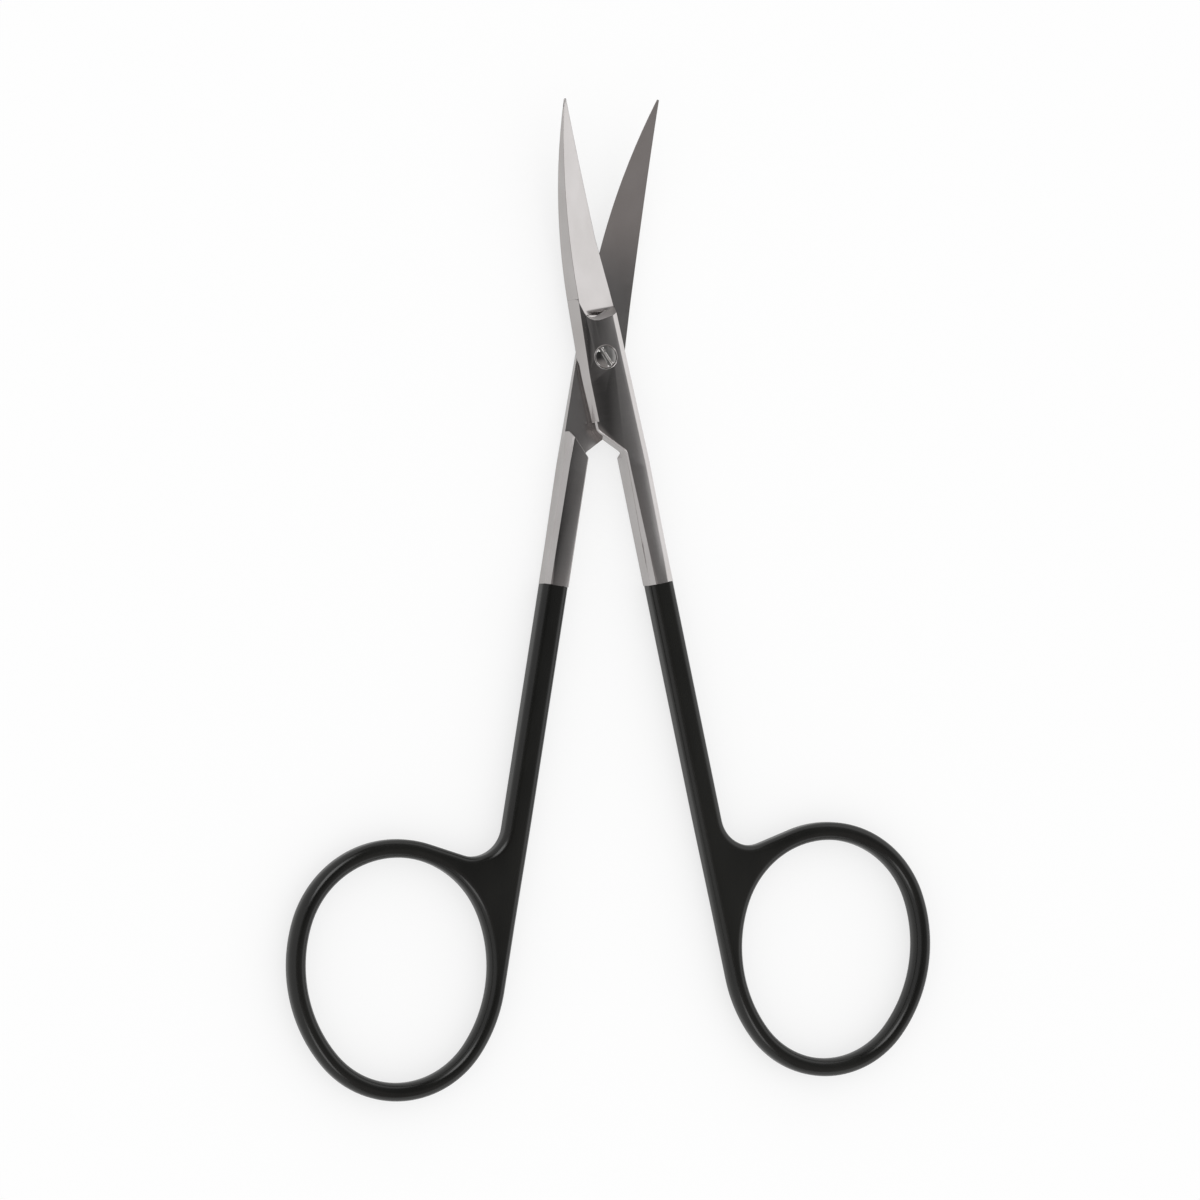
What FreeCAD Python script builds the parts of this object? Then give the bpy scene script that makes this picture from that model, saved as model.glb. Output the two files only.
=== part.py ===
import FreeCAD, Part
import math
import os

# Dissecting scissors, curved, with coated ring handles. Millimetres, +Z up.
# The scissors lie flat. The pivot axis is the Z axis, the blades point along +Y
# and their tips curve up. Each half is drawn closed, with the shear plane at
# z = 0, and is then turned about the pivot to the half open rest.

V = FreeCAD.Vector
Z_AXIS = V(0, 0, 1)
ORIGIN = V(0, 0, 0)

# Opening at rest
HALF_OPENING = 10.45      # each half is turned this far from closed, degrees

# Blades
BLADE_REACH = 29.05       # pivot to tip along the blade
TAPER_REACH = 29.75       # where width and thickness would run out
BLADE_WIDTH = 5.15        # at the joint
WIDTH_POWER = 2.17        # how late the width tapers
BLADE_THICK = 1.75        # height of the back ridge over the shear face, at the joint
THICK_POWER = 2.3         # how late the thickness tapers
BLADE_OFFSET = -0.1       # centre line of the blade at the pivot
BLADE_LEAN = -0.0066      # sideways lean of that centre line towards the tip
BACK_WALL = 0.12          # upright foot of the narrow back facet
BACK_SLOPE = 0.45         # run of that facet for each unit of its height
EDGE_LAND = 0.07          # flat left on the cutting edge
CURVE_START = 6.0         # distance from the pivot at which the blades begin to curve
CURVE_RADIUS = 50.0       # radius of the curve, seen from the side
BLADE_ROOT = 2.6          # where the blade begins inside the joint plate
BLADE_STATIONS = 9        # sections along the blade
STATION_CROWDING = 1.35   # above 1 the sections stand closer towards the tip

# Joint, a lap of two plates with a screw through both
JOINT_THICK = 1.85        # each plate
JOINT_RIGHT = 2.48        # outer edge at the pivot
JOINT_LEAN = 0.024        # outward run of that edge for each unit towards the rings
JOINT_LEFT = 2.9          # widest point of the inner edge
JOINT_LEFT_Y = -2.0
JOINT_HEEL_X = 2.75       # lower inner corner of the plate
LEFT_RADIUS = 20.0
HEEL_RADIUS = 1.0
CROTCH_RADIUS = 0.9
PLATE_END = 7.0           # past the end of the ground bevel
LAP_GAP = 0.05            # between the two plates and between the blades
SHEAR_SPARE = 0.1         # stock on a plate's flat side that the shear cut takes off
EDGE_CHAMFER = 0.22       # worked edge at the crotch
FACET_HEIGHT = 1.5        # height of the sloped facet along the inner edge
FACET_MIDDLE = 0.54       # its run at the widest point
FACET_LOW = 0.44          # its run at its lower end
FACET_LOW_Y = -6.9        # where it ends over the heel
OUTER_FACET_RUN = 0.6     # wide facet along the outer edge of plate and shank
OUTER_FACET_DEPTH = 0.3

# Line where the ground bevel runs out over the plate
RUNOUT_X = -1.1           # its lowest point
RUNOUT_Y = 4.05
RUNOUT_RIDGE_SLOPE = 3.2  # rise towards the ridge
RUNOUT_EDGE_SLOPE = 0.13  # rise towards the cutting edge
RUNOUT_RADIUS = 1.7
RUNOUT_LEAN = 0.55        # run of the wall under the line for its height

# Shoulder where a plate thickens to the full shank
SHOULDER_OUT_X = 2.85
SHOULDER_OUT_Y = -8.7
SHOULDER_IN_X = 0.1
SHOULDER_IN_Y = -11.5
SHOULDER_GAP = 0.6        # kept to the other half's plate when closed

# Shank
SHANK_WIDTH = 2.72
SHANK_THICK = 2.86
SHANK_CENTRE = 1.4        # centre line at the pivot, off the middle line
SHANK_LEAN = 0.007        # outward run for each unit towards the ring
SHANK_CHAMFER = 0.55
INNER_CHAMFER = 0.1       # nearly sharp edge of the bare shank, on the joint's side
NECK_START = 12.9         # from here the plate thins down to the shank
NECK_END = 22.0

# Finger ring, an egg shaped loop of four tangent arcs
RING_Y = -70.69           # its widest place
RING_HALF_WIDTH = 10.74   # of the bare hole, where it is widest
RING_SIDE_RADIUS = 15.25
RING_TOP_RADIUS = 10.45
RING_BOTTOM_RADIUS = 9.55
RING_WALL = 1.8
RING_TILT = 12.2          # the top leans away from the other ring, degrees
WEB_ANGLE = 8.9           # slope of the web between shank and ring, degrees
NOTCH_RADIUS = 3.8

# Coat on the shanks and rings
COAT = 0.12
COAT_START = 26.2         # distance behind the pivot
GRIP_CHAMFER = 0.79       # deeper worked edge of shank and ring under the coat

# Screw
SCREW_RADIUS = 0.85
SCREW_PLAY = 0.03
SCREW_END_BEVEL = 0.12
HEAD_RADIUS = 1.25
HEAD_HEIGHT = 0.62
HEAD_CROWN = 0.16         # rise of the domed top, half of it above the plate
HEAD_PLAY = 0.04          # round the head
HEAD_UNDER = 0.05         # under the head
MOUTH = 0.08              # widened mouth of the head's seat
SLOT_WIDTH = 0.4
SLOT_DEPTH = 0.36
SLOT_ANGLE = 133.0        # from the line of the rear half, degrees

# Blocks and cylinders that only cut run this far past the solids
SPARE = 0.4
FAR = 50.0
JOIN_TOLERANCE = 0.0001   # faces of a blade and its plate closer than this are joined


def prism(wire, low, high):
    face = Part.Face(wire)
    face.translate(V(0, 0, low))
    return face.extrude(V(0, 0, high - low))


def through(wire):
    return prism(wire, -FAR, FAR)


def rounded_path(corners):
    """Lines from corner to corner, each corner a point and its radius."""
    edges = []
    start = corners[0][0]
    for i in range(1, len(corners) - 1):
        corner, radius = corners[i]
        if radius == 0:
            edges.append(Part.makeLine(start, corner))
            start = corner
            continue
        to_last = (corners[i - 1][0] - corner).normalize()
        to_next = (corners[i + 1][0] - corner).normalize()
        half = to_last.getAngle(to_next) / 2
        reach = radius / math.tan(half)
        first = corner + to_last * reach
        last = corner + to_next * reach
        inward = (to_last + to_next).normalize()
        middle = corner + inward * (radius / math.sin(half) - radius)
        edges.append(Part.makeLine(start, first))
        edges.append(Part.Arc(first, middle, last).toShape())
        start = last
    edges.append(Part.makeLine(start, corners[-1][0]))
    return edges


def closed_path(corners):
    return Part.Wire(rounded_path(corners + corners[:1]))


def arc(centre, radius, start, end):
    """Arc about a centre, turning clockwise between two headings in radians."""
    span = (start - end) % (2 * math.pi)
    points = []
    for share in (0, 0.5, 1):
        way = start - span * share
        points.append(centre + V(math.cos(way), math.sin(way), 0) * radius)
    return Part.Arc(*points).toShape()


def heading(start, end):
    return math.atan2(end.y - start.y, end.x - start.x)


def crossing(p, way_p, q, way_q):
    """Where two lines cross, each given by a point and a direction."""
    cross = way_p.x * way_q.y - way_p.y * way_q.x
    share = ((q.x - p.x) * way_q.y - (q.y - p.y) * way_q.x) / cross
    return p + way_p * share


# Lines that the plan of a half is drawn from

SHANK_WAY = V(-SHANK_LEAN, 1, 0)
SHOULDER_OUT = V(SHOULDER_OUT_X, SHOULDER_OUT_Y, 0)
SHOULDER_IN = V(SHOULDER_IN_X, SHOULDER_IN_Y, 0)


def shank_side(y, offset):
    """Place across the shank at a height y, offset square from its centre line."""
    return SHANK_CENTRE - SHANK_LEAN * y + offset * SHANK_WAY.Length


def joint_side(y):
    """Outer edge of the joint plate."""
    return JOINT_RIGHT - JOINT_LEAN * y


def heel_line():
    """Lower edge of the plate, clear of the other half's shoulder when closed."""
    way = V(SHOULDER_OUT.x - SHOULDER_IN.x, SHOULDER_IN.y - SHOULDER_OUT.y, 0)
    way.normalize()
    clear = V(-way.y, way.x, 0) * SHOULDER_GAP
    return V(-SHOULDER_OUT.x, SHOULDER_OUT.y, 0) + clear, way


def ring_centres():
    """Centres of the ring's arcs. The ring's side runs on from the shank's side."""
    tilt = math.radians(RING_TILT)
    across = V(math.cos(tilt), -math.sin(tilt), 0)
    along = V(math.sin(tilt), math.cos(tilt), 0)
    side = RING_SIDE_RADIUS - RING_HALF_WIDTH
    up = math.sqrt((RING_SIDE_RADIUS - RING_TOP_RADIUS) ** 2 - side ** 2)
    down = math.sqrt((RING_SIDE_RADIUS - RING_BOTTOM_RADIUS) ** 2 - side ** 2)
    reach = (RING_SIDE_RADIUS + RING_WALL) * SHANK_WAY.Length
    left_y = RING_Y + across.y * side
    left = V(shank_side(left_y, -SHANK_WIDTH / 2) + reach, left_y, 0)
    middle = left - across * side
    return {
        "left": left,
        "right": middle - across * side,
        "top": middle + along * up,
        "bottom": middle - along * down,
    }


def ring_headings():
    c = ring_centres()
    return {
        "right_top": heading(c["right"], c["top"]),
        "right_bottom": heading(c["right"], c["bottom"]),
        "left_top": heading(c["left"], c["top"]),
        "left_bottom": heading(c["left"], c["bottom"]),
    }


def ring_hole(grow):
    """Hole of the ring, made smaller by what the ring has grown."""
    c = ring_centres()
    h = ring_headings()
    side = RING_SIDE_RADIUS - grow
    return Part.Wire([
        arc(c["top"], RING_TOP_RADIUS - grow, h["left_top"], h["right_top"]),
        arc(c["right"], side, h["right_top"], h["right_bottom"]),
        arc(c["bottom"], RING_BOTTOM_RADIUS - grow, h["right_bottom"], h["left_bottom"]),
        arc(c["left"], side, h["left_bottom"], h["left_top"]),
    ])


def shank_and_ring(top, grow):
    """Outline of shank and ring from a height on the shank, grown by a skin."""
    c = ring_centres()
    h = ring_headings()
    wall = RING_WALL + grow
    rise = math.radians(WEB_ANGLE)
    web = rise + math.pi / 2
    flank = math.pi + math.atan(SHANK_LEAN)
    ring = [
        arc(c["top"], RING_TOP_RADIUS + wall, web, h["right_top"]),
        arc(c["right"], RING_SIDE_RADIUS + wall, h["right_top"], h["right_bottom"]),
        arc(c["bottom"], RING_BOTTOM_RADIUS + wall, h["right_bottom"], h["left_bottom"]),
        arc(c["left"], RING_SIDE_RADIUS + wall, h["left_bottom"], flank),
    ]
    web_start = ring[0].Vertexes[0].Point
    ring_end = ring[-1].Vertexes[-1].Point
    half = SHANK_WIDTH / 2 + grow
    edge = V(shank_side(0, half), 0, 0)
    notch = crossing(web_start, V(math.cos(rise), math.sin(rise), 0), edge, SHANK_WAY)
    path = rounded_path([
        (ring_end, 0),
        (V(shank_side(top, -half), top, 0), 0),
        (V(shank_side(top, half), top, 0), 0),
        (notch, NOTCH_RADIUS - grow),
        (web_start, 0),
    ])
    return Part.Wire(path + ring)


def plate_outline():
    """Plan of the joint plate, from the neck to past the end of the bevel."""
    heel_point, heel_way = heel_line()
    inner = V(shank_side(0, -SHANK_WIDTH / 2), 0, 0)
    crotch = crossing(heel_point, heel_way, inner, SHANK_WAY)
    heel = crossing(heel_point, heel_way, V(-JOINT_HEEL_X, 0, 0), V(0, 1, 0))
    return closed_path([
        (V(shank_side(-NECK_START, -SHANK_WIDTH / 2), -NECK_START, 0), 0),
        (crotch, CROTCH_RADIUS),
        (heel, HEEL_RADIUS),
        (V(-JOINT_LEFT, JOINT_LEFT_Y, 0), LEFT_RADIUS),
        (V(blade_back(PLATE_END), PLATE_END, 0), 0),
        (V(joint_side(PLATE_END), PLATE_END, 0), 0),
        (V(joint_side(-NECK_START), -NECK_START, 0), 0),
    ])


# Blades

def blade_width(y):
    return BLADE_WIDTH * (1 - (y / TAPER_REACH) ** WIDTH_POWER)


def blade_height(y):
    return BLADE_THICK * (1 - (y / TAPER_REACH) ** THICK_POWER)


def blade_back(y):
    return BLADE_OFFSET + BLADE_LEAN * y - blade_width(y) / 2


def curve_rise(run):
    """Rise of the curved shear face at a distance from the pivot."""
    past = max(0.0, run - CURVE_START)
    return CURVE_RADIUS - math.sqrt(CURVE_RADIUS ** 2 - past ** 2)


def beyond_shear(side):
    """Blocks on the other half's side of the shear face, ahead and behind.

    Ahead the face is a surface of revolution about the pivot, so that the
    blades slide over each other without meeting at any opening. Behind it is flat.
    """
    level = side * LAP_GAP / 2
    end = BLADE_REACH + SPARE
    half_way = (CURVE_START + end) / 2
    profile = Part.Wire([
        Part.makeLine(V(0, 0, level), V(CURVE_START, 0, level)),
        Part.Arc(
            V(CURVE_START, 0, level),
            V(half_way, 0, level + curve_rise(half_way)),
            V(end, 0, level + curve_rise(end)),
        ).toShape(),
        Part.makeLine(V(end, 0, level + curve_rise(end)), V(end, 0, -side * FAR)),
        Part.makeLine(V(end, 0, -side * FAR), V(0, 0, -side * FAR)),
        Part.makeLine(V(0, 0, -side * FAR), V(0, 0, level)),
    ])
    ahead = Part.Face(profile).revolve(ORIGIN, Z_AXIS, 180)
    corner = V(-end, -end, min(level, level - side * FAR))
    return [ahead, Part.makeBox(2 * end, end, FAR, corner)]


def blade_section(side, y):
    """Section of a blade: narrow back facet, ridge, wide bevel, cutting edge."""
    back = blade_back(y)
    edge = back + blade_width(y)
    tall = blade_height(y)
    corners = [
        (back, -SPARE),
        (back, BACK_WALL),
        (back + BACK_SLOPE * tall, tall),
        (edge, EDGE_LAND),
        (edge, -SPARE),
    ]
    points = []
    for x, z in corners:
        points.append(V(side * x, y, curve_rise(math.hypot(x, y)) + side * z))
    return Part.makePolygon(points + points[:1])


def beside_joint(side):
    """Area past the outer edge of the plate, where the blade's root is trimmed."""
    low = V(joint_side(0), 0, 0)
    high = V(joint_side(PLATE_END), PLATE_END, 0)
    out = V(BLADE_WIDTH, 0, 0)
    block = through(closed_path([(low, 0), (high, 0), (high + out, 0), (low + out, 0)]))
    return block if side > 0 else block.mirror(ORIGIN, V(1, 0, 0))


def blade(side):
    """Blade with its bevel up for side 1, or down and mirrored for side -1."""
    sections = []
    for i in range(BLADE_STATIONS):
        share = 1 - (1 - i / (BLADE_STATIONS - 1)) ** STATION_CROWDING
        y = BLADE_ROOT + (BLADE_REACH - BLADE_ROOT) * share
        sections.append(blade_section(side, y))
    return Part.makeLoft(sections, True, False).cut(beside_joint(side))


# Forging of one half without its blade

def long_edges(body, level):
    """Edges of a plan at one level, without those square to the shank."""
    found = []
    for edge in body.Edges:
        first = edge.Vertexes[0].Point
        last = edge.Vertexes[-1].Point
        if abs(first.z - level) > 0.001 or abs(last.z - level) > 0.001:
            continue
        if abs(first.y - last.y) < 0.001 and abs(first.x - last.x) > SHANK_WIDTH / 2:
            continue
        found.append(edge)
    return found


def leaning_cut(area, run_x, run_y, depth):
    """Prism over an area of the plate's face that leans as it goes down."""
    face = Part.Face(area)
    face.translate(V(-run_x * SPARE, -run_y * SPARE, JOINT_THICK + SPARE))
    drop = depth + SPARE
    return face.extrude(V(run_x * drop, run_y * drop, -drop))


def facet_area():
    """Plan of what the sloped facet along the inner edge takes off."""
    low_x = -JOINT_HEEL_X + FACET_LOW
    middle_x = -JOINT_LEFT + FACET_MIDDLE
    end_x = blade_back(PLATE_END) + BACK_SLOPE * FACET_HEIGHT
    return closed_path([
        (V(-FAR, FACET_LOW_Y, 0), 0),
        (V(low_x, FACET_LOW_Y, 0), 0),
        (V(middle_x, JOINT_LEFT_Y, 0), LEFT_RADIUS),
        (V(end_x, PLATE_END, 0), 0),
        (V(end_x, PLATE_END + SPARE, 0), 0),
        (V(-FAR, PLATE_END + SPARE, 0), 0),
    ])


def outer_facet_area():
    """Plan of what the wide facet along the outer edge takes off."""
    low_x = joint_side(-NECK_START) - OUTER_FACET_RUN
    high_x = joint_side(PLATE_END) - OUTER_FACET_RUN
    return closed_path([
        (V(low_x, -NECK_START, 0), 0),
        (V(high_x, PLATE_END, 0), 0),
        (V(FAR, PLATE_END, 0), 0),
        (V(FAR, -NECK_START, 0), 0),
    ])


def runout_area():
    """Plan of what the grinding of the bevel takes off."""
    low = V(RUNOUT_X, RUNOUT_Y, 0)
    reach = BLADE_WIDTH * 1.5
    left = low + V(-reach, reach * RUNOUT_RIDGE_SLOPE, 0)
    right = low + V(reach, reach * RUNOUT_EDGE_SLOPE, 0)
    return closed_path([
        (left, 0),
        (low, RUNOUT_RADIUS),
        (right, 0),
        (V(right.x, FAR, 0), 0),
        (V(left.x, FAR, 0), 0),
    ])


def joint_plate():
    """Plate of the lap, which the shear cut trims to its flat side."""
    plate = prism(plate_outline(), -SHEAR_SPARE, JOINT_THICK)
    crotch = []
    for edge in long_edges(plate, JOINT_THICK):
        middle = edge.CenterOfMass
        if middle.x < JOINT_RIGHT / 2 and middle.y < SHOULDER_OUT_Y + HEEL_RADIUS:
            crotch.append(edge)
    plate = plate.makeChamfer(EDGE_CHAMFER, crotch)
    plate = plate.cut(leaning_cut(facet_area(), -BACK_SLOPE, 0, FACET_HEIGHT))
    outer_slope = OUTER_FACET_RUN / OUTER_FACET_DEPTH
    plate = plate.cut(leaning_cut(outer_facet_area(), outer_slope, 0, OUTER_FACET_DEPTH))
    return plate.cut(leaning_cut(runout_area(), 0, RUNOUT_LEAN, JOINT_THICK + SPARE))


def neck_section(y, top, chamfer):
    """Section of the bare shank, from its underside up to a given top."""
    low = -SHANK_THICK / 2
    left = shank_side(y, -SHANK_WIDTH / 2)
    right = min(joint_side(y), shank_side(y, SHANK_WIDTH / 2))
    return Part.makePolygon([
        V(left + INNER_CHAMFER, y, low),
        V(left, y, low + INNER_CHAMFER),
        V(left, y, top - chamfer),
        V(left + chamfer, y, top),
        V(right - OUTER_FACET_RUN, y, top),
        V(right, y, top - OUTER_FACET_DEPTH),
        V(right, y, low + SHANK_CHAMFER),
        V(right - SHANK_CHAMFER, y, low),
        V(left + INNER_CHAMFER, y, low),
    ])


def grip(grow):
    """Shank and ring from the coat's start, grown by a skin all round."""
    half = SHANK_THICK / 2 + grow
    body = prism(shank_and_ring(-COAT_START, grow), -half, half)
    body = body.cut(through(ring_hole(grow)))
    edges = long_edges(body, half) + long_edges(body, -half)
    return body.makeChamfer(GRIP_CHAMFER + grow * (2 - math.sqrt(2)), edges)


def clear_of_other(side):
    """What the shear cut takes off, from the shoulder to the tip."""
    way = (SHOULDER_OUT - SHOULDER_IN).normalize()
    right = SHOULDER_OUT + way * FAR
    left = SHOULDER_IN - way * FAR
    area = closed_path([
        (left, 0),
        (right, 0),
        (V(right.x, right.y + FAR, 0), 0),
        (V(left.x, right.y + FAR, 0), 0),
    ])
    block = through(area)
    if side < 0:
        block = half_turned(block)
    return [block.common(beyond) for beyond in beyond_shear(side)]


def forging():
    """Joint plate, neck, shank and ring of the front half, before the shear cut."""
    neck = Part.makeLoft([
        neck_section(-COAT_START, SHANK_THICK / 2, SHANK_CHAMFER),
        neck_section(-NECK_END, SHANK_THICK / 2, SHANK_CHAMFER),
        neck_section(-NECK_START, JOINT_THICK, EDGE_CHAMFER),
    ], True, True)
    under = Part.makeLoft([
        neck_section(-NECK_START, JOINT_THICK / 2, SPARE),
        neck_section(SHOULDER_OUT_Y / 2, JOINT_THICK / 2, SPARE),
    ], True, True)
    return grip(0).fuse([neck, under, joint_plate()])


def half_turned(shape):
    """Half turn about the Y axis, which makes the rear half out of the front."""
    turned = shape.copy()
    turned.rotate(ORIGIN, V(0, 1, 0), 180)
    return turned


# Screw

def screw():
    """Slotted screw with a low domed head, its end flush with the rear plate."""
    top = JOINT_THICK + HEAD_CROWN / 2
    rim = top - HEAD_CROWN
    low = top - HEAD_HEIGHT
    end = -JOINT_THICK
    dome = (HEAD_RADIUS ** 2 + HEAD_CROWN ** 2) / (2 * HEAD_CROWN)
    part_way = HEAD_RADIUS / 2
    crown = V(part_way, 0, top - dome + math.sqrt(dome ** 2 - part_way ** 2))
    corners = [
        V(0, 0, top),
        V(0, 0, end),
        V(SCREW_RADIUS - SCREW_END_BEVEL, 0, end),
        V(SCREW_RADIUS, 0, end + SCREW_END_BEVEL),
        V(SCREW_RADIUS, 0, low),
        V(HEAD_RADIUS, 0, low),
        V(HEAD_RADIUS, 0, rim),
    ]
    profile = list(Part.makePolygon(corners).Edges)
    profile.append(Part.Arc(corners[-1], crown, corners[0]).toShape())
    body = Part.Face(Part.Wire(profile)).revolve(ORIGIN, Z_AXIS, 360)
    reach = HEAD_RADIUS + SPARE
    corner = V(-reach, -SLOT_WIDTH / 2, top - SLOT_DEPTH)
    slot = Part.makeBox(2 * reach, SLOT_WIDTH, SLOT_DEPTH + SPARE, corner)
    slot.rotate(ORIGIN, Z_AXIS, SLOT_ANGLE)
    return body.cut(slot)


def screw_seat():
    """Clear hole and seat for the head in the front half."""
    hole = Part.makeCylinder(SCREW_RADIUS + SCREW_PLAY, 2 * FAR, V(0, 0, -FAR))
    low = JOINT_THICK + HEAD_CROWN / 2 - HEAD_HEIGHT - HEAD_UNDER
    wide = HEAD_RADIUS + HEAD_PLAY
    seat = Part.makeCylinder(wide, FAR, V(0, 0, low))
    mouth = Part.makeCone(wide, wide + MOUTH, MOUTH, V(0, 0, JOINT_THICK - MOUTH))
    return hole.fuse([seat, mouth])


def screw_hole():
    return Part.makeCylinder(SCREW_RADIUS, 2 * FAR, V(0, 0, -FAR))


def at_rest(shape, turn):
    """Turn a piece half open, and lift the shear plane over the ground."""
    placed = shape.copy()
    placed.rotate(ORIGIN, Z_AXIS, turn)
    placed.translate(V(0, 0, JOINT_THICK))
    return placed


def half(body, side):
    """Whole half, from its body without the blade."""
    joined = body.fuse([blade(side)], JOIN_TOLERANCE)
    return joined.cut(clear_of_other(side)).removeSplitter()


handle = forging()
front = half(handle, 1).cut(screw_seat())
rear = half(half_turned(handle), -1).cut(screw_hole())
skin = grip(COAT).cut(handle)

pieces = {
    "front_half": at_rest(front, HALF_OPENING),
    "rear_half": at_rest(rear, -HALF_OPENING),
    "front_handle_coat": at_rest(skin, HALF_OPENING),
    "rear_handle_coat": at_rest(half_turned(skin), -HALF_OPENING),
    "pivot_screw": at_rest(screw(), -HALF_OPENING),
}

os.makedirs("parts", exist_ok=True)
for name, shape in pieces.items():
    shape.exportStep("parts/" + name + ".step")
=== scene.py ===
import math
import bmesh
import bpy
from mathutils import Matrix, Vector

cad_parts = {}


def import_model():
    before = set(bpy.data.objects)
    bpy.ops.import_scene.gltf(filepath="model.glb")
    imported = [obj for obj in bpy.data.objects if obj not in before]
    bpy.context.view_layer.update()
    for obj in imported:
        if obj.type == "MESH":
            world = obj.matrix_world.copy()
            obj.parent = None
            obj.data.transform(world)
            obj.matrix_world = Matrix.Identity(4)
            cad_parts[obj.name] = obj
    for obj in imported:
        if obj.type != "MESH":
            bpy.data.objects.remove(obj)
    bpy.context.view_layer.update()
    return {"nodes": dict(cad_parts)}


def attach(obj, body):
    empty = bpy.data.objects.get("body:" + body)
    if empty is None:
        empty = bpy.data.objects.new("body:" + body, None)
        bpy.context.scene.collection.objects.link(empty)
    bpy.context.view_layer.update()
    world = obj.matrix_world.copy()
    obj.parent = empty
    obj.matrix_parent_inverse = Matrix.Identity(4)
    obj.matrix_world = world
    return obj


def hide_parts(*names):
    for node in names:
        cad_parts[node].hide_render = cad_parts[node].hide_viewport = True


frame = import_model()

MM = 0.001

# Camera, at the photograph's viewing angle
SHEAR_HEIGHT = 1.85 * MM
PIXEL = 0.1124 * MM           # one pixel of the 1200 pixel picture, at the pivot
FOCAL = 5000.0                # in pixels
YAW = math.radians(20.35)
PITCH = math.radians(-0.32)
ROLL = math.radians(1.42)
SHIFT = (0.4, 242.0)          # of the pivot from the picture's centre, in pixels
PICTURE = 1200.0
SENSOR = 36.0                 # width, in mm

# Half angle between the scissors' halves at rest
HALF_OPENING = math.radians(10.45)

# Round crown ground on the flat faces of plate and bare shank, in the design frame
CROWN_TOP_X = 0.3 * MM        # its highest line
CROWN_TOP_RADIUS = 13 * MM
CROWN_TOP_END = 6.5 * MM      # no crown on the blades
CROWN_LOW_X = 1.3 * MM        # the same on the far side of the shank
CROWN_LOW_RADIUS = 9 * MM
CROWN_LOW_END = -8.5 * MM     # no crown on the lapped faces
CROWN_BLEND = 1.5 * MM

# Coated shank and ring in the closed design frame, sizes over the coat
SHANK_WIDTH = 2.96 * MM
SHANK_CENTRE = 1.4 * MM
SHANK_LEAN = 0.007
RING_Y = -70.69 * MM
RING_HALF_WIDTH = 10.62 * MM
RING_SIDE_RADIUS = 15.13 * MM
RING_TOP_RADIUS = 10.33 * MM
RING_BOTTOM_RADIUS = 9.43 * MM
RING_WALL = 2.04 * MM
RING_TILT = math.radians(12.2)
WEB_ANGLE = math.radians(8.9)
NOTCH_RADIUS = 3.68 * MM
COAT_END = -26.2 * MM
COAT_HALF = 1.5 * MM          # half of its thickness
COAT_ROUND = 0.96 * MM        # its edges are this round
RING_ROUND = 1.32 * MM        # and the ring's this tall
ROUND_START = -54 * MM        # from here to the next the rounding grows taller
ROUND_END = -64 * MM

# Outward flare of the shear face's outer edge: place along the half and shift
FLARE = [
    (-9.2 * MM, 0.0),
    (-8.5 * MM, 0.40 * MM),
    (4.0 * MM, 0.45 * MM),
    (13.5 * MM, 0.0),
]
FLARE_FROM = 2.0 * MM         # only past this line
FLARE_HEIGHT = 0.5 * MM       # and below this height

# Edges sharper than this are worked round, by these widths
WORKED_ANGLE = math.radians(20)
STEEL_EDGE = 0.04 * MM
SCREW_EDGE = 0.09 * MM
WELD_DISTANCE = 0.0015 * MM   # corners closer than this are one

# Points on each stretch of the coat's outline, and steps of its rounding
TOP_POINTS = 40
SIDE_POINTS = 28
BOTTOM_POINTS = 36
NOTCH_POINTS = 18
SHANK_POINTS = 12
ROUND_STEPS = 9

# Finish
FLAT_SHARE = 0.985            # upright share of its normal over which a face is flat
END_FACING = (0.35, 0.6)      # how far a step faces the tips as its finish turns coarse
END_ROUGHNESS = 0.5
STEEL_ROUGHNESS = (0.15, 0.21)
SCREW_ROUGHNESS = (0.07, 0.12)
COAT_ROUGHNESS = (0.18, 0.26)
COAT_IOR = 1.46


def turn(axis, angle):
    return Matrix.Rotation(angle, 3, axis)


def camera():
    to_camera = turn("Z", ROLL) @ turn("X", PITCH) @ turn("Y", YAW)
    place = to_camera.transposed() @ Vector((-SHIFT[0], -SHIFT[1], FOCAL)) * PIXEL
    place.z += SHEAR_HEIGHT
    data = bpy.data.cameras.new("camera")
    data.sensor_width = SENSOR
    data.lens = SENSOR * FOCAL / PICTURE
    data.clip_start = 0.01
    data.clip_end = 20.0
    obj = bpy.data.objects.new("camera", data)
    bpy.context.scene.collection.objects.link(obj)
    obj.matrix_world = Matrix.Translation(place) @ to_camera.transposed().to_4x4()
    bpy.context.scene.camera = obj
    return obj


# Materials

def new_material(name):
    mat = bpy.data.materials.new(name)
    mat.use_nodes = True
    tree = mat.node_tree
    shader = tree.nodes["Principled BSDF"]
    return mat, tree, shader


def place_on(tree, turn_z, scale):
    """Object coordinates turned along one half and scaled, for its grain."""
    coords = tree.nodes.new("ShaderNodeTexCoord")
    mapping = tree.nodes.new("ShaderNodeMapping")
    mapping.vector_type = "TEXTURE"
    mapping.inputs["Rotation"].default_value = (0, 0, turn_z)
    tree.links.new(coords.outputs["Object"], mapping.inputs["Vector"])
    stretch = tree.nodes.new("ShaderNodeVectorMath")
    stretch.operation = "MULTIPLY"
    stretch.inputs[1].default_value = scale
    tree.links.new(mapping.outputs["Vector"], stretch.inputs[0])
    return stretch.outputs["Vector"]


def math_node(tree, operation, first, second):
    node = tree.nodes.new("ShaderNodeMath")
    node.operation = operation
    for socket, value in zip(node.inputs, (first, second)):
        if isinstance(value, (int, float)):
            socket.default_value = value
        else:
            tree.links.new(value, socket)
    return node.outputs[0]


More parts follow.
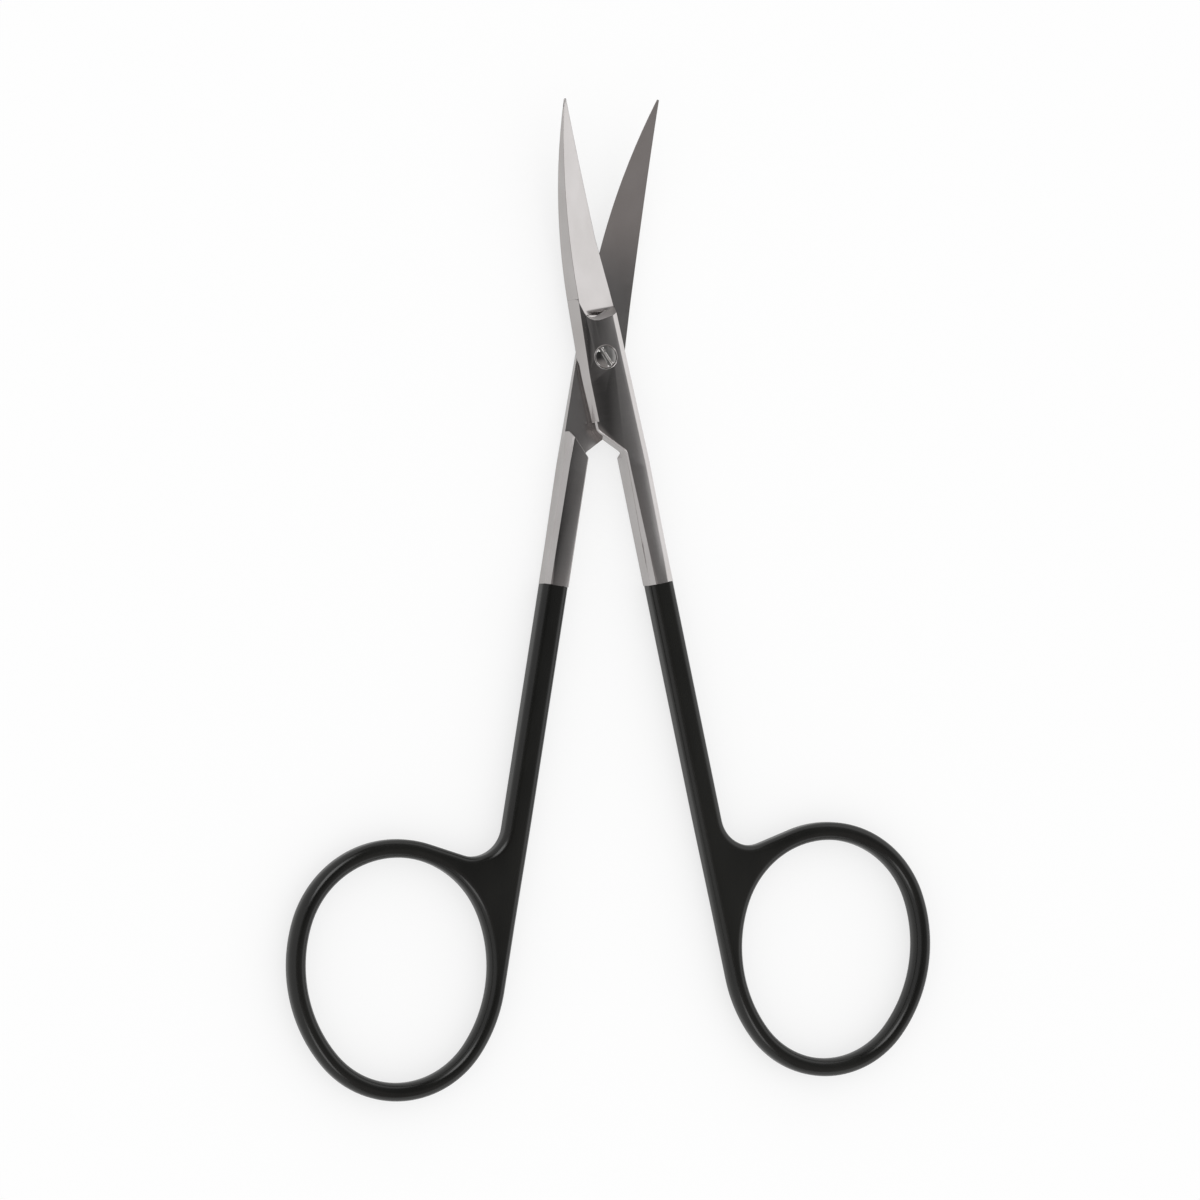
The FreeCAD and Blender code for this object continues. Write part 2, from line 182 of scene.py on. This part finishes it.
def noise(tree, vector, detail, rough):
    node = tree.nodes.new("ShaderNodeTexNoise")
    node.inputs["Scale"].default_value = 1.0
    node.inputs["Detail"].default_value = detail
    node.inputs["Roughness"].default_value = rough
    tree.links.new(vector, node.inputs["Vector"])
    return node.outputs["Fac"]


def spread(tree, value, low, high):
    """A noise value, stretched over a range."""
    node = tree.nodes.new("ShaderNodeMapRange")
    node.inputs["From Min"].default_value = 0.3
    node.inputs["From Max"].default_value = 0.7
    node.inputs["To Min"].default_value = low
    node.inputs["To Max"].default_value = high
    tree.links.new(value, node.inputs["Value"])
    return node.outputs["Result"]


def blend_colours(tree, factor, first, second):
    node = tree.nodes.new("ShaderNodeMix")
    node.data_type = "RGBA"
    for socket, value in ((node.inputs[6], first), (node.inputs[7], second)):
        if isinstance(value, tuple):
            socket.default_value = (*value, 1.0)
        else:
            tree.links.new(value, socket)
    tree.links.new(factor, node.inputs[0])
    return node.outputs[2]


def bump(tree, height, strength, distance):
    node = tree.nodes.new("ShaderNodeBump")
    node.inputs["Strength"].default_value = strength
    node.inputs["Distance"].default_value = distance
    tree.links.new(height, node.inputs["Height"])
    return node.outputs["Normal"]


def crowned(tree, turn_z, side, normal):
    """Normal leaning outward over the flat faces of plate and shank, as ground round."""
    along = place_on(tree, turn_z, (1, 1, 1))
    parts = tree.nodes.new("ShaderNodeSeparateXYZ")
    tree.links.new(along, parts.inputs[0])
    across = tree.nodes.new("ShaderNodeVectorTransform")
    across.vector_type = "VECTOR"
    across.convert_from = "OBJECT"
    across.convert_to = "WORLD"
    across.inputs[0].default_value = (math.cos(turn_z), math.sin(turn_z), 0)
    own = tree.nodes.new("ShaderNodeSeparateXYZ")
    shape = tree.nodes.new("ShaderNodeNewGeometry")
    tree.links.new(shape.outputs["True Normal"], own.inputs[0])
    faces = (
        (side, CROWN_TOP_X, CROWN_TOP_RADIUS, CROWN_TOP_END),
        (-side, CROWN_LOW_X, CROWN_LOW_RADIUS, CROWN_LOW_END),
    )
    lean = 0.0
    for up, centre, radius, end in faces:
        off = math_node(tree, "SUBTRACT", parts.outputs["X"], side * centre)
        upright = math_node(tree, "MULTIPLY", own.outputs["Z"], up)
        level = math_node(tree, "GREATER_THAN", upright, FLAT_SHARE)
        fade = tree.nodes.new("ShaderNodeMapRange")
        fade.inputs["From Min"].default_value = end - CROWN_BLEND
        fade.inputs["From Max"].default_value = end
        fade.inputs["To Min"].default_value = 1.0
        fade.inputs["To Max"].default_value = 0.0
        tree.links.new(parts.outputs["Y"], fade.inputs["Value"])
        part = math_node(tree, "MULTIPLY", math_node(tree, "DIVIDE", off, radius), level)
        lean = math_node(tree, "ADD", math_node(tree, "MULTIPLY", part, fade.outputs["Result"]), lean)
    push = tree.nodes.new("ShaderNodeVectorMath")
    push.operation = "SCALE"
    tree.links.new(across.outputs[0], push.inputs[0])
    tree.links.new(lean, push.inputs["Scale"])
    total = tree.nodes.new("ShaderNodeVectorMath")
    total.operation = "ADD"
    tree.links.new(normal, total.inputs[0])
    tree.links.new(push.outputs[0], total.inputs[1])
    unit = tree.nodes.new("ShaderNodeVectorMath")
    unit.operation = "NORMALIZE"
    tree.links.new(total.outputs[0], unit.inputs[0])
    return unit.outputs[0]


def end_faces(tree, turn_z):
    """Coarser finish on the steps that face the tips, which no wheel polishes."""
    along = tree.nodes.new("ShaderNodeVectorTransform")
    along.vector_type = "VECTOR"
    along.convert_from = "OBJECT"
    along.convert_to = "WORLD"
    along.inputs[0].default_value = (-math.sin(turn_z), math.cos(turn_z), 0)
    facing = tree.nodes.new("ShaderNodeVectorMath")
    facing.operation = "DOT_PRODUCT"
    shape = tree.nodes.new("ShaderNodeNewGeometry")
    tree.links.new(shape.outputs["Normal"], facing.inputs[0])
    tree.links.new(along.outputs[0], facing.inputs[1])
    rough = tree.nodes.new("ShaderNodeMapRange")
    rough.interpolation_type = "SMOOTHSTEP"
    rough.inputs["From Min"].default_value = END_FACING[0]
    rough.inputs["From Max"].default_value = END_FACING[1]
    rough.inputs["To Max"].default_value = END_ROUGHNESS
    tree.links.new(facing.outputs["Value"], rough.inputs["Value"])
    return rough.outputs["Result"]


def satin_steel(name, turn_z, side):
    """Satin ground steel with fine lines across the blade and a faint bloom."""
    mat, tree, shader = new_material(name)
    shader.inputs["Metallic"].default_value = 1.0
    lines = noise(tree, place_on(tree, turn_z, (500, 14000, 14000)), 3.0, 0.5)
    cloud = noise(tree, place_on(tree, turn_z, (320, 180, 320)), 3.0, 0.5)
    bloom = spread(tree, cloud, 0.0, 1.0)
    colour = blend_colours(tree, bloom, (0.575, 0.55, 0.54), (0.63, 0.605, 0.60))
    tree.links.new(colour, shader.inputs["Base Color"])
    polish = spread(tree, lines, *STEEL_ROUGHNESS)
    rough = math_node(tree, "MAXIMUM", polish, end_faces(tree, turn_z))
    tree.links.new(rough, shader.inputs["Roughness"])
    grain = bump(tree, lines, 0.05, 0.000004)
    tree.links.new(crowned(tree, turn_z, side, grain), shader.inputs["Normal"])
    return mat


def bright_screw(name, turn_z):
    mat, tree, shader = new_material(name)
    shader.inputs["Metallic"].default_value = 1.0
    lines = noise(tree, place_on(tree, turn_z, (2500, 2500, 2500)), 3.0, 0.5)
    colour = blend_colours(tree, spread(tree, lines, 0.0, 1.0), (0.60, 0.585, 0.57), (0.70, 0.69, 0.68))
    tree.links.new(colour, shader.inputs["Base Color"])
    tree.links.new(spread(tree, lines, *SCREW_ROUGHNESS), shader.inputs["Roughness"])
    return mat


def black_coat(name, turn_z):
    """Glossy black enamel with a slight orange peel."""
    mat, tree, shader = new_material(name)
    peel = noise(tree, place_on(tree, turn_z, (900, 500, 900)), 2.0, 0.5)
    haze = noise(tree, place_on(tree, turn_z, (160, 60, 160)), 3.0, 0.5)
    depth = spread(tree, haze, 0.0, 1.0)
    colour = blend_colours(tree, depth, (0.0065, 0.0065, 0.006), (0.011, 0.011, 0.0095))
    tree.links.new(colour, shader.inputs["Base Color"])
    tree.links.new(spread(tree, haze, *COAT_ROUGHNESS), shader.inputs["Roughness"])
    shader.inputs["IOR"].default_value = COAT_IOR
    tree.links.new(bump(tree, peel, 0.10, 0.00002), shader.inputs["Normal"])
    return mat


# Pieces

def from_closed(node):
    """Turns the closed design frame, shear plane at z = 0, into the place at rest."""
    lift = Matrix.Translation((0, 0, SHEAR_HEIGHT))
    if node.startswith("front"):
        return lift @ Matrix.Rotation(HALF_OPENING, 4, "Z")
    return lift @ Matrix.Rotation(-HALF_OPENING, 4, "Z") @ Matrix.Rotation(math.pi, 4, "Y")


def piece_mesh(node):
    """The piece's own surface as joined triangles in the closed design frame."""
    work = bmesh.new()
    work.from_mesh(frame["nodes"][node].data)
    bmesh.ops.remove_doubles(work, verts=work.verts, dist=WELD_DISTANCE)
    work.transform(from_closed(node).inverted())
    return work


def placed(node, work, material):
    """Object from a mesh in the design frame, taking the node's place."""
    for face in work.faces:
        face.smooth = True
        face.material_index = 0
    work.transform(from_closed(node))
    mesh = bpy.data.meshes.new(node + "_surface")
    work.to_mesh(mesh)
    work.free()
    mesh.materials.append(material)
    mesh.set_sharp_from_angle(angle=WORKED_ANGLE)
    piece = bpy.data.objects.new(node + "_piece", mesh)
    bpy.context.scene.collection.objects.link(piece)
    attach(piece, "front" if node.startswith("front") else "rear")
    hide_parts(node)
    return piece


def flare(work):
    """Widens the shear face past the plate's outer wall, running out along the edge."""
    for v in work.verts:
        if v.co.x < FLARE_FROM or v.co.z > FLARE_HEIGHT or v.co.z < 0:
            continue
        for (y0, shift0), (y1, shift1) in zip(FLARE, FLARE[1:]):
            if y0 < v.co.y <= y1:
                v.co.x += shift0 + (shift1 - shift0) * (v.co.y - y0) / (y1 - y0)
                break


def dressed(node, material, edge, flared=False):
    """The piece's own surface, with a worked radius on its edges."""
    work = piece_mesh(node)
    if flared:
        flare(work)
    weight = work.edges.layers.float.new("bevel_weight_edge")
    for e in work.edges:
        if len(e.link_faces) == 2 and e.calc_face_angle() > WORKED_ANGLE:
            e[weight] = 1.0
    piece = placed(node, work, material)
    bevel = piece.modifiers.new("worked edges", "BEVEL")
    bevel.width = edge
    bevel.segments = 2
    bevel.limit_method = "WEIGHT"
    bevel.harden_normals = True
    bevel.use_clamp_overlap = False
    return piece


# Coated shank and ring

def heading(start, end):
    return math.atan2(end.y - start.y, end.x - start.x)


def arc(centre, radius, start, end, count):
    """Points on an arc that turns clockwise from one heading to the next."""
    span = (start - end) % (2 * math.pi)
    ways = [start - span * i / (count - 1) for i in range(count)]
    return [centre + Vector((math.cos(a), math.sin(a))) * radius for a in ways]


def shank_side(y, offset):
    return SHANK_CENTRE - SHANK_LEAN * y + offset * math.hypot(SHANK_LEAN, 1)


def ring_arcs():
    """Centres of the ring's four arcs, and the headings where one meets the next."""
    across = Vector((math.cos(RING_TILT), -math.sin(RING_TILT)))
    along = Vector((math.sin(RING_TILT), math.cos(RING_TILT)))
    side = RING_SIDE_RADIUS - RING_HALF_WIDTH
    up = math.sqrt((RING_SIDE_RADIUS - RING_TOP_RADIUS) ** 2 - side ** 2)
    down = math.sqrt((RING_SIDE_RADIUS - RING_BOTTOM_RADIUS) ** 2 - side ** 2)
    reach = (RING_SIDE_RADIUS + RING_WALL) * math.hypot(SHANK_LEAN, 1)
    left_y = RING_Y + across.y * side
    left = Vector((shank_side(left_y, -SHANK_WIDTH / 2) + reach, left_y))
    middle = left - across * side
    right = middle - across * side
    top = middle + along * up
    bottom = middle - along * down
    turns = [heading(left, top), heading(right, top), heading(right, bottom), heading(left, bottom)]
    return (top, right, bottom, left), turns


def ring_loop(grow, first, last):
    """Ring outline, all round or from the web to the shank's side."""
    (top, right, bottom, left), (turn_a, turn_b, turn_c, turn_d) = ring_arcs()
    begin = turn_a if first is None else first
    end = turn_a if last is None else last
    return (
        arc(top, RING_TOP_RADIUS + grow, begin, turn_b, TOP_POINTS)
        + arc(right, RING_SIDE_RADIUS + grow, turn_b, turn_c, SIDE_POINTS)[1:]
        + arc(bottom, RING_BOTTOM_RADIUS + grow, turn_c, turn_d, BOTTOM_POINTS)[1:]
        + arc(left, RING_SIDE_RADIUS + grow, turn_d, end, SIDE_POINTS)[1:]
    )


def hole_loop(inset):
    return ring_loop(inset, None, None)[:-1]


def outer_loop(inset):
    """Outline of the coated shank and ring, drawn in by an inset."""
    ring = ring_loop(RING_WALL - inset, WEB_ANGLE + math.pi / 2, math.pi + math.atan(SHANK_LEAN))
    half = SHANK_WIDTH / 2 - inset
    top_left = Vector((shank_side(COAT_END, -half), COAT_END))
    top_right = Vector((shank_side(COAT_END, half), COAT_END))
    # the notch, tangent to the shank's side and to the web
    down = Vector((-SHANK_LEAN, 1)).normalized() * -1
    web = Vector((math.cos(WEB_ANGLE), math.sin(WEB_ANGLE)))
    run = ring[0] - top_right
    share = (run.x * web.y - run.y * web.x) / (down.x * web.y - down.y * web.x)
    corner = top_right + down * share
    to_ring = (ring[0] - corner).normalized()
    half_turn = (-down).angle(to_ring) / 2
    inward = (to_ring - down).normalized()
    radius = NOTCH_RADIUS + inset
    centre = corner + inward * radius / math.sin(half_turn)
    start = heading(centre, corner - down * radius / math.tan(half_turn))
    half_span = (heading(centre, corner) - start + math.pi) % (2 * math.pi) - math.pi
    notch = []
    for i in range(NOTCH_POINTS):
        way = start + 2 * half_span * i / (NOTCH_POINTS - 1)
        notch.append(centre + Vector((math.cos(way), math.sin(way))) * radius)
    shank = [top_right.lerp(notch[0], i / SHANK_POINTS) for i in range(SHANK_POINTS)]
    flank = [ring[-1].lerp(top_left, i / SHANK_POINTS) for i in range(1, SHANK_POINTS + 1)]
    return shank + notch + ring + flank


def coat_height(y, way):
    """Height of the rounded wall at a heading from its top, the ring's more oval."""
    share = max(0.0, min(1.0, (y - ROUND_START) / (ROUND_END - ROUND_START)))
    tall = COAT_ROUND + (RING_ROUND - COAT_ROUND) * share
    return COAT_HALF - tall + tall * math.cos(way)


def coat_mesh():
    """Rounded skin over shank and ring, closed across its end at the bare shank."""
    work = bmesh.new()
    steps = [math.pi / 2 * i / ROUND_STEPS for i in range(ROUND_STEPS + 1)]
    walls = [(a, 1) for a in steps] + [(a, -1) for a in reversed(steps)]
    for loop, outward in ((outer_loop, 1), (hole_loop, -1)):
        rows = []
        for way, up in walls:
            points = loop(COAT_ROUND * (1 - math.sin(way)))
            rows.append([work.verts.new((p.x, p.y, up * coat_height(p.y, way))) for p in points])
        for above, below in zip(rows, rows[1:]):
            for i, vert in enumerate(above):
                j = i - 1
                corners = (above[j], vert, below[i], below[j])
                work.faces.new(corners if outward > 0 else corners[::-1])
    rims = [e for e in work.edges if len(e.link_faces) == 1]
    for sign in (1, -1):
        bmesh.ops.triangle_fill(
            work, use_beauty=True, use_dissolve=False,
            edges=[e for e in rims if e.verts[0].co.z * sign > 0])
    bmesh.ops.recalc_face_normals(work, faces=work.faces[:])
    return work


front_steel = satin_steel("front steel", HALF_OPENING, 1)
rear_steel = satin_steel("rear steel", -HALF_OPENING, -1)
dressed("front_half", front_steel, STEEL_EDGE, flared=True)
dressed("rear_half", rear_steel, STEEL_EDGE, flared=True)
dressed("pivot_screw", bright_screw("screw steel", -HALF_OPENING), SCREW_EDGE)
front_coat = black_coat("front coat", HALF_OPENING)
rear_coat = black_coat("rear coat", -HALF_OPENING)
placed("front_handle_coat", coat_mesh(), front_coat)
placed("rear_handle_coat", coat_mesh(), rear_coat)


# Studio

TABLE_REACH = 3.0             # from the middle, in metres
TABLE_DROP = 0.02 * MM        # below the part, so that no faces coincide

# Colour and own light of the table for camera rays, gloss and all other rays
CAMERA_COLOUR = (0.30, 0.30, 0.30)
CAMERA_LIGHT = 0.69
GLOSS_COLOUR = (0.30, 0.30, 0.295)
GLOSS_LIGHT = 0.40
OTHER_COLOUR = (0.985, 0.985, 0.985)


def seen_by(tree, kind):
    """1 for rays of the given kind, otherwise 0."""
    path = tree.nodes.new("ShaderNodeLightPath")
    return path.outputs[kind]


def floor():
    """Pale table with a light shadow. Polished steel sees it a little darker."""
    mat, tree, shader = new_material("floor")
    by_gloss = seen_by(tree, "Is Glossy Ray")
    by_camera = seen_by(tree, "Is Camera Ray")
    other = blend_colours(tree, by_gloss, OTHER_COLOUR, GLOSS_COLOUR)
    colour = blend_colours(tree, by_camera, other, CAMERA_COLOUR)
    tree.links.new(colour, shader.inputs["Base Color"])
    gloss_light = math_node(tree, "MULTIPLY", by_gloss, GLOSS_LIGHT)
    camera_light = math_node(tree, "MULTIPLY", by_camera, CAMERA_LIGHT)
    light = math_node(tree, "ADD", gloss_light, camera_light)
    tree.links.new(light, shader.inputs["Emission Strength"])
    shader.inputs["Emission Color"].default_value = (1.0, 1.0, 1.0, 1.0)
    shader.inputs["Roughness"].default_value = 0.9
    shader.inputs["Specular IOR Level"].default_value = 0.0
    far = TABLE_REACH
    corners = [(-far, -far, 0), (far, -far, 0), (far, far, 0), (-far, far, 0)]
    mesh = bpy.data.meshes.new("floor")
    mesh.from_pydata(corners, [], [(0, 1, 2, 3)])
    mesh.materials.append(mat)
    obj = bpy.data.objects.new("floor", mesh)
    bpy.context.scene.collection.objects.link(obj)
    obj.location.z = -TABLE_DROP


# Brightness of the studio by its angle from overhead, towards +X, as metal sees it
STUDIO = [
    (-90, 0.70),
    (-50, 0.66),
    (-28, 0.09),
    (-9, 0.045),
    (2, 0.02),
    (11, 0.075),
    (20, 0.12),
    (34, 0.17),
    (46, 0.42),
    (56, 1.08),
    (90, 1.08),
]

# Small lamps that only gloss shows: direction, full and fading radius in degrees, level
LAMPS = [
    ((-0.35, 0.66, 0.66), 9, 20, 3.2),
    ((-0.45, -0.60, 0.66), 7, 16, 2.4),
]

# Towards the rings the studio is at least this bright, rising by this much for each unit
NEAR_COLOUR = (0.27, 0.255, 0.25, 1.0)
NEAR_RISE = 4.0


def world():
    """Even white light, with a dark hood over the table that only gloss shows."""
    sky = bpy.data.worlds.new("studio")
    bpy.context.scene.world = sky
    sky.use_nodes = True
    tree = sky.node_tree
    ground = tree.nodes["Background"]
    ground.inputs["Strength"].default_value = 1.0
    coords = tree.nodes.new("ShaderNodeTexCoord")
    parts = tree.nodes.new("ShaderNodeSeparateXYZ")
    tree.links.new(coords.outputs["Generated"], parts.inputs[0])
    across = math_node(tree, "ARCTAN2", parts.outputs["X"], parts.outputs["Z"])
    place = math_node(tree, "ADD", math_node(tree, "DIVIDE", across, math.pi), 0.5)
    hood = tree.nodes.new("ShaderNodeValToRGB")
    hood.color_ramp.interpolation = "EASE"
    stops = hood.color_ramp.elements
    while len(stops) < len(STUDIO):
        stops.new(1.0)
    for stop, (angle, level) in zip(stops, STUDIO):
        stop.position = angle / 180 + 0.5
        stop.color = (level, level, level, 1.0)
    tree.links.new(place, hood.inputs["Fac"])
    near = math_node(tree, "MULTIPLY", parts.outputs["Y"], -NEAR_RISE)
    tilt = tree.nodes.new("ShaderNodeClamp")
    tree.links.new(near, tilt.inputs["Value"])
    lifted = tree.nodes.new("ShaderNodeMix")
    lifted.data_type = "RGBA"
    lifted.blend_type = "LIGHTEN"
    lifted.inputs[7].default_value = NEAR_COLOUR
    tree.links.new(hood.outputs["Color"], lifted.inputs[6])
    tree.links.new(tilt.outputs["Result"], lifted.inputs[0])
    studio = lifted.outputs[2]
    for way, full, fading, level in LAMPS:
        dot = tree.nodes.new("ShaderNodeVectorMath")
        dot.operation = "DOT_PRODUCT"
        dot.inputs[1].default_value = Vector(way).normalized()
        tree.links.new(coords.outputs["Generated"], dot.inputs[0])
        lamp = tree.nodes.new("ShaderNodeMapRange")
        lamp.interpolation_type = "SMOOTHSTEP"
        lamp.inputs["From Min"].default_value = math.cos(math.radians(fading))
        lamp.inputs["From Max"].default_value = math.cos(math.radians(full))
        lamp.inputs["To Max"].default_value = level
        tree.links.new(dot.outputs["Value"], lamp.inputs["Value"])
        lit = tree.nodes.new("ShaderNodeVectorMath")
        lit.operation = "ADD"
        tree.links.new(studio, lit.inputs[0])
        tree.links.new(lamp.outputs["Result"], lit.inputs[1])
        studio = lit.outputs["Vector"]
    colour = blend_colours(tree, seen_by(tree, "Is Glossy Ray"), (1.0, 1.0, 1.0), studio)
    tree.links.new(colour, ground.inputs["Color"])


world()
floor()
camera()

bpy.context.scene.view_settings.view_transform = "Standard"
